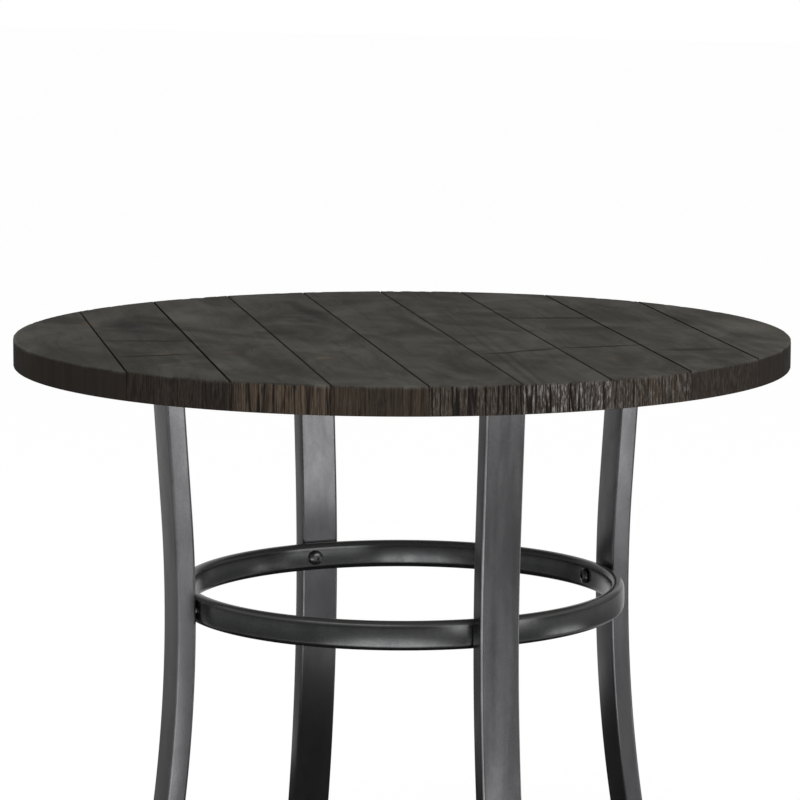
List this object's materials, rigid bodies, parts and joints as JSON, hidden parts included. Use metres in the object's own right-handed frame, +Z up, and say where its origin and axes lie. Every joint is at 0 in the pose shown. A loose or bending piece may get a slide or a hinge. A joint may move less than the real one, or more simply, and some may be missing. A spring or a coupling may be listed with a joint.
{
  "type": "counter height table",
  "caption": "Round counter height table: planked wood top on four bowed rectangular tube legs, tied by a bolted hoop, with threaded levellers.",
  "frame": {"origin": "on the floor, under the middle of the round top", "axes": "+Z up; the four legs stand on the diagonals of X and Y"},
  "size_m": [1.1429, 1.1428, 0.9144],
  "materials": {
    "plank_wood": "charcoal brown stain, satin, sawn and worn",
    "spline_wood": "bare hardwood",
    "leg_paint": "gunmetal lacquer over brushed steel, satin",
    "hoop_paint": "dark gunmetal lacquer, semi-gloss",
    "bar_paint": "black powder coat, satin",
    "bolt_black": "black oxide, satin",
    "zinc_steel": "zinc plated",
    "insert_brass": "plain",
    "black_nylon": "moulded, matt"
  },
  "bodies": {
    "table": {"plank_1": "plank_wood", "plank_2": "plank_wood", "plank_3": "plank_wood", "plank_4": "plank_wood", "plank_5": "plank_wood", "plank_6": "plank_wood", "plank_7": "plank_wood", "plank_8": "plank_wood", "plank_9": "plank_wood", "plank_splines": "spline_wood", "top_bar_1": "bar_paint", "top_bar_2": "bar_paint", "bar_screws": "zinc_steel", "leg_1": "leg_paint", "leg_plate_1": "leg_paint", "foot_plug_1": "black_nylon", "leg_2": "leg_paint", "leg_plate_2": "leg_paint", "foot_plug_2": "black_nylon", "leg_3": "leg_paint", "leg_plate_3": "leg_paint", "foot_plug_3": "black_nylon", "leg_4": "leg_paint", "leg_plate_4": "leg_paint", "foot_plug_4": "black_nylon", "leg_plate_inserts": "insert_brass", "leg_plate_washers": "zinc_steel", "leg_plate_screws": "zinc_steel", "foot_hoop": "hoop_paint", "hoop_bolts": "bolt_black", "leg_rivet_nuts": "zinc_steel"},
    "glide_1": {"leveller_glide_1": "black_nylon"},
    "stud_1": {"leveller_stud_1": "zinc_steel"},
    "glide_2": {"leveller_glide_2": "black_nylon"},
    "stud_2": {"leveller_stud_2": "zinc_steel"},
    "glide_3": {"leveller_glide_3": "black_nylon"},
    "stud_3": {"leveller_stud_3": "zinc_steel"},
    "glide_4": {"leveller_glide_4": "black_nylon"},
    "stud_4": {"leveller_stud_4": "zinc_steel"}
  },
  "joints": [
    {"name": "glide_slide_1", "type": "slide", "parent": "table", "child": "glide_1", "axis": [0, 0, -1], "range_m": [0, 0.01]},
    {"name": "stud_turn_1", "type": "hinge", "parent": "glide_1", "child": "stud_1", "pos_m": [0.28615, 0.28615, 0.03], "axis": [0, 0, -1], "range_deg": [0, 2880]},
    {"name": "glide_slide_2", "type": "slide", "parent": "table", "child": "glide_2", "axis": [0, 0, -1], "range_m": [0, 0.01]},
    {"name": "stud_turn_2", "type": "hinge", "parent": "glide_2", "child": "stud_2", "pos_m": [-0.28615, 0.28615, 0.03], "axis": [0, 0, -1], "range_deg": [0, 2880]},
    {"name": "glide_slide_3", "type": "slide", "parent": "table", "child": "glide_3", "axis": [0, 0, -1], "range_m": [0, 0.01]},
    {"name": "stud_turn_3", "type": "hinge", "parent": "glide_3", "child": "stud_3", "pos_m": [-0.28615, -0.28615, 0.03], "axis": [0, 0, -1], "range_deg": [0, 2880]},
    {"name": "glide_slide_4", "type": "slide", "parent": "table", "child": "glide_4", "axis": [0, 0, -1], "range_m": [0, 0.01]},
    {"name": "stud_turn_4", "type": "hinge", "parent": "glide_4", "child": "stud_4", "pos_m": [0.28615, -0.28615, 0.03], "axis": [0, 0, -1], "range_deg": [0, 2880]}
  ],
  "couplings": [
    {"joint": "stud_turn_1", "follows": "glide_slide_1", "rad_per_m": 5026.5},
    {"joint": "stud_turn_2", "follows": "glide_slide_2", "rad_per_m": 5026.5},
    {"joint": "stud_turn_3", "follows": "glide_slide_3", "rad_per_m": 5026.5},
    {"joint": "stud_turn_4", "follows": "glide_slide_4", "rad_per_m": 5026.5}
  ]
}
